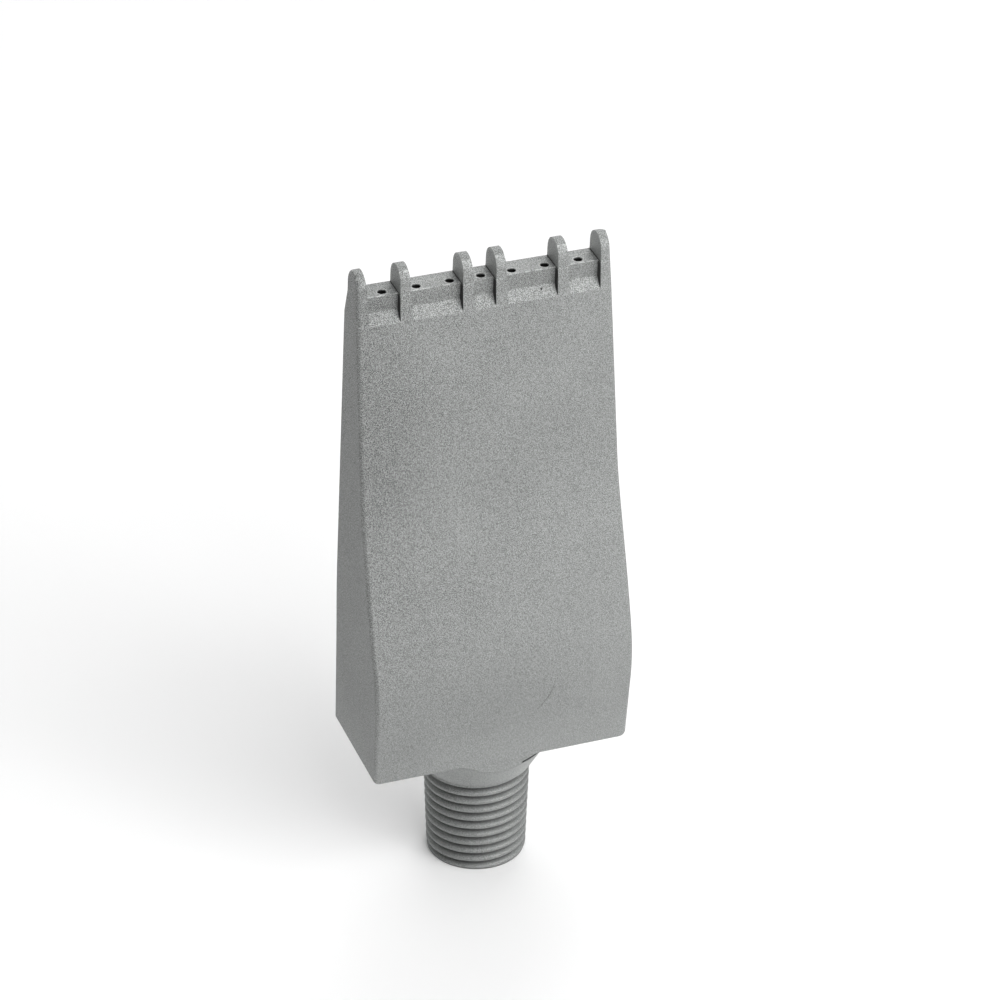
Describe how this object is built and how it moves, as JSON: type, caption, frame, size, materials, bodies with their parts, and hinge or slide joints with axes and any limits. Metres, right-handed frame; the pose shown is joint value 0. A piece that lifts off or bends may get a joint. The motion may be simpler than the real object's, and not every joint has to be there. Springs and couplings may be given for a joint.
{
  "type": "flat air nozzle",
  "caption": "Flat cast air nozzle: a hollow wedge-shaped body on a threaded pipe spigot, with small air outlets along its slim tip between protective fins.",
  "frame": {"origin": "centre of the threaded spigot's end, where the air goes in", "axes": "+Z along the spigot's axis towards the air outlets, +X across the flat width, -Y is the front face with the ledges"},
  "size_m": [0.025, 0.0128, 0.064],
  "materials": {
    "blasted_casting": "matte, bead blasted casting"
  },
  "bodies": {
    "root": {"nozzle": "blasted_casting"}
  },
  "joints": []
}
